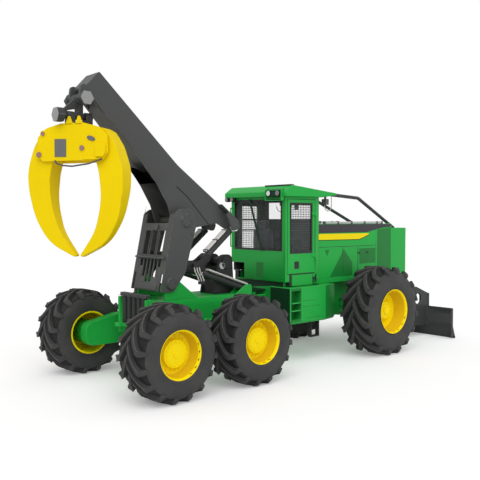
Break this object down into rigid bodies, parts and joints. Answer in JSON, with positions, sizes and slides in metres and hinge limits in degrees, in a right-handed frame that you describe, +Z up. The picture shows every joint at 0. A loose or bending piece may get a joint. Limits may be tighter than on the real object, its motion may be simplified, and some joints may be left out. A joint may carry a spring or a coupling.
{
  "type": "six-wheel articulated grapple skidder",
  "caption": "Frame-steered log skidder with a rear bogie, a leaning arch and boom with a hanging grapple, a closed cab and a front blade.",
  "frame": {"origin": "on the ground, on the midplane, halfway along the machine's length", "axes": "+X forward, +Y to the machine's left, +Z up"},
  "size_m": [9.6704, 3.538, 5.2173],
  "materials": {
    "green_paint": "gloss",
    "yellow_paint": "gloss",
    "grey_paint": "satin",
    "dark_steel": "satin",
    "tyre_rubber": "matt",
    "clear_glass": "polished",
    "black_plastic": "matt",
    "iron": "cast",
    "seat_fabric": "woven",
    "chromed_rod": "polished"
  },
  "bodies": {
    "front_frame": {"front_chassis": "green_paint", "front_axle": "green_paint", "engine_block": "iron", "side_boxes": "green_paint", "steps": "dark_steel", "cab_shell": "green_paint", "cab_glass": "clear_glass", "cab_roof": "green_paint", "seat": "seat_fabric", "hood": "green_paint", "front_guard": "green_paint", "limb_risers": "grey_paint", "work_lamps": "black_plastic"},
    "rear_frame": {"rear_chassis": "green_paint", "arch_brackets": "green_paint", "bogie_cases": "green_paint", "fairlead": "dark_steel", "winch": "dark_steel"},
    "door_right": {"door_right": "green_paint", "door_glass_right": "clear_glass"},
    "door_left": {"door_left": "green_paint", "door_glass_left": "clear_glass"},
    "blade": {"blade": "dark_steel"},
    "blade_barrels": {"blade_barrels": "dark_steel"},
    "blade_rods": {"blade_rods": "chromed_rod"},
    "arch": {"arch": "grey_paint"},
    "arch_barrels": {"arch_barrels": "grey_paint"},
    "arch_rods": {"arch_rods": "chromed_rod"},
    "boom": {"boom": "grey_paint"},
    "boom_barrels": {"boom_barrels": "grey_paint"},
    "boom_rods": {"boom_rods": "chromed_rod"},
    "crosshead": {"crosshead": "grey_paint"},
    "rotator": {"rotator": "grey_paint"},
    "grapple_head": {"grapple_head": "yellow_paint"},
    "tong_right": {"tong_right": "yellow_paint"},
    "tong_left": {"tong_left": "yellow_paint"},
    "wheel_front_right": {"tyre_front_right": "tyre_rubber", "rim_front_right": "yellow_paint"},
    "wheel_front_left": {"tyre_front_left": "tyre_rubber", "rim_front_left": "yellow_paint"},
    "wheel_mid_right": {"tyre_mid_right": "tyre_rubber", "rim_mid_right": "yellow_paint"},
    "wheel_mid_left": {"tyre_mid_left": "tyre_rubber", "rim_mid_left": "yellow_paint"},
    "wheel_rear_right": {"tyre_rear_right": "tyre_rubber", "rim_rear_right": "yellow_paint"},
    "wheel_rear_left": {"tyre_rear_left": "tyre_rubber", "rim_rear_left": "yellow_paint"}
  },
  "joints": [
    {"name": "steering", "type": "hinge", "parent": "front_frame", "child": "rear_frame", "pos_m": [-0.55, 0, 1.11], "axis": [0, 0, 1], "range_deg": [-40, 40]},
    {"name": "wheel_front_right_spin", "type": "hinge", "parent": "front_frame", "child": "wheel_front_right", "pos_m": [2.047, -1.312, 0.915], "axis": [0, 1, 0], "continuous": true},
    {"name": "wheel_front_left_spin", "type": "hinge", "parent": "front_frame", "child": "wheel_front_left", "pos_m": [2.047, 1.312, 0.915], "axis": [0, 1, 0], "continuous": true},
    {"name": "wheel_mid_right_spin", "type": "hinge", "parent": "rear_frame", "child": "wheel_mid_right", "pos_m": [-1.763, -1.389, 0.76], "axis": [0, 1, 0], "continuous": true},
    {"name": "wheel_mid_left_spin", "type": "hinge", "parent": "rear_frame", "child": "wheel_mid_left", "pos_m": [-1.763, 1.389, 0.76], "axis": [0, 1, 0], "continuous": true},
    {"name": "wheel_rear_right_spin", "type": "hinge", "parent": "rear_frame", "child": "wheel_rear_right", "pos_m": [-3.48, -1.389, 0.76], "axis": [0, 1, 0], "continuous": true},
    {"name": "wheel_rear_left_spin", "type": "hinge", "parent": "rear_frame", "child": "wheel_rear_left", "pos_m": [-3.48, 1.389, 0.76], "axis": [0, 1, 0], "continuous": true},
    {"name": "door_right_hinge", "type": "hinge", "parent": "front_frame", "child": "door_right", "pos_m": [0.582, -0.812, 2.4], "axis": [0, 0, 1], "range_deg": [0, 75]},
    {"name": "door_left_hinge", "type": "hinge", "parent": "front_frame", "child": "door_left", "pos_m": [0.582, 0.812, 2.4], "axis": [0, 0, -1], "range_deg": [0, 75]},
    {"name": "blade_lift", "type": "hinge", "parent": "front_frame", "child": "blade", "pos_m": [3.27, 0, 0.85], "axis": [0, -1, 0], "range_deg": [0, 25]},
    {"name": "blade_cylinder_swing", "type": "hinge", "parent": "front_frame", "child": "blade_barrels", "pos_m": [3.975, 0, 1.56], "axis": [0, 1, 0], "range_deg": [-8.03, 0.5]},
    {"name": "blade_cylinder_stroke", "type": "slide", "parent": "blade_barrels", "child": "blade_rods", "axis": [0.1044, 0, -0.9945], "range_m": [-0.359, 0.002]},
    {"name": "arch_lean", "type": "hinge", "parent": "rear_frame", "child": "arch", "pos_m": [-2.76, 0, 1.72], "axis": [0, 1, 0], "range_deg": [-25, 0]},
    {"name": "arch_cylinder_swing", "type": "hinge", "parent": "rear_frame", "child": "arch_barrels", "pos_m": [-0.93, 0, 1.5], "axis": [0, 1, 0], "range_deg": [-0.5, 8.16]},
    {"name": "arch_cylinder_stroke", "type": "slide", "parent": "arch_barrels", "child": "arch_rods", "axis": [-0.9479, 0, 0.3186], "range_m": [-0.002, 0.22494]},
    {"name": "boom_lower", "type": "hinge", "parent": "arch", "child": "boom", "pos_m": [-2.42, 0, 2.8], "axis": [0, 1, 0], "range_deg": [-40, 0]},
    {"name": "boom_cylinder_swing", "type": "hinge", "parent": "arch", "child": "boom_barrels", "pos_m": [-1.93, 0, 2.13], "axis": [0, 1, 0], "range_deg": [-31.61, 0.5]},
    {"name": "boom_cylinder_stroke", "type": "slide", "parent": "boom_barrels", "child": "boom_rods", "axis": [0.7765, 0, 0.6302], "range_m": [-0.002, 0.54227]},
    {"name": "grapple_swing", "type": "hinge", "parent": "boom", "child": "crosshead", "pos_m": [-4.24, 0, 4.765], "axis": [0, -1, 0], "range_deg": [-105, 10]},
    {"name": "grapple_sideways", "type": "hinge", "parent": "crosshead", "child": "rotator", "pos_m": [-4.24, 0, 4.49], "axis": [1, 0, 0], "range_deg": [-20, 20]},
    {"name": "grapple_turn", "type": "hinge", "parent": "rotator", "child": "grapple_head", "pos_m": [-4.24, 0, 4.36], "axis": [0, 0, 1], "continuous": true},
    {"name": "tong_right_swing", "type": "hinge", "parent": "grapple_head", "child": "tong_right", "pos_m": [-3.97504, -0.42402, 3.93], "axis": [-0.848, -0.5299, 0], "range_deg": [0, 45]},
    {"name": "tong_left_swing", "type": "hinge", "parent": "grapple_head", "child": "tong_left", "pos_m": [-4.50496, 0.42402, 3.93], "axis": [0.848, 0.5299, 0], "range_deg": [0, 45]}
  ],
  "couplings": [
    {"joint": "blade_cylinder_swing", "follows": "blade_lift", "ratio": -0.30126},
    {"joint": "blade_cylinder_stroke", "follows": "blade_lift", "m_per_rad": -0.81819},
    {"joint": "arch_cylinder_swing", "follows": "arch_lean", "ratio": -0.30639},
    {"joint": "arch_cylinder_stroke", "follows": "arch_lean", "m_per_rad": -0.51094},
    {"joint": "boom_cylinder_swing", "follows": "boom_lower", "ratio": 0.77779},
    {"joint": "boom_cylinder_stroke", "follows": "boom_lower", "m_per_rad": -0.77388},
    {"joint": "tong_left_swing", "follows": "tong_right_swing", "ratio": 1}
  ]
}
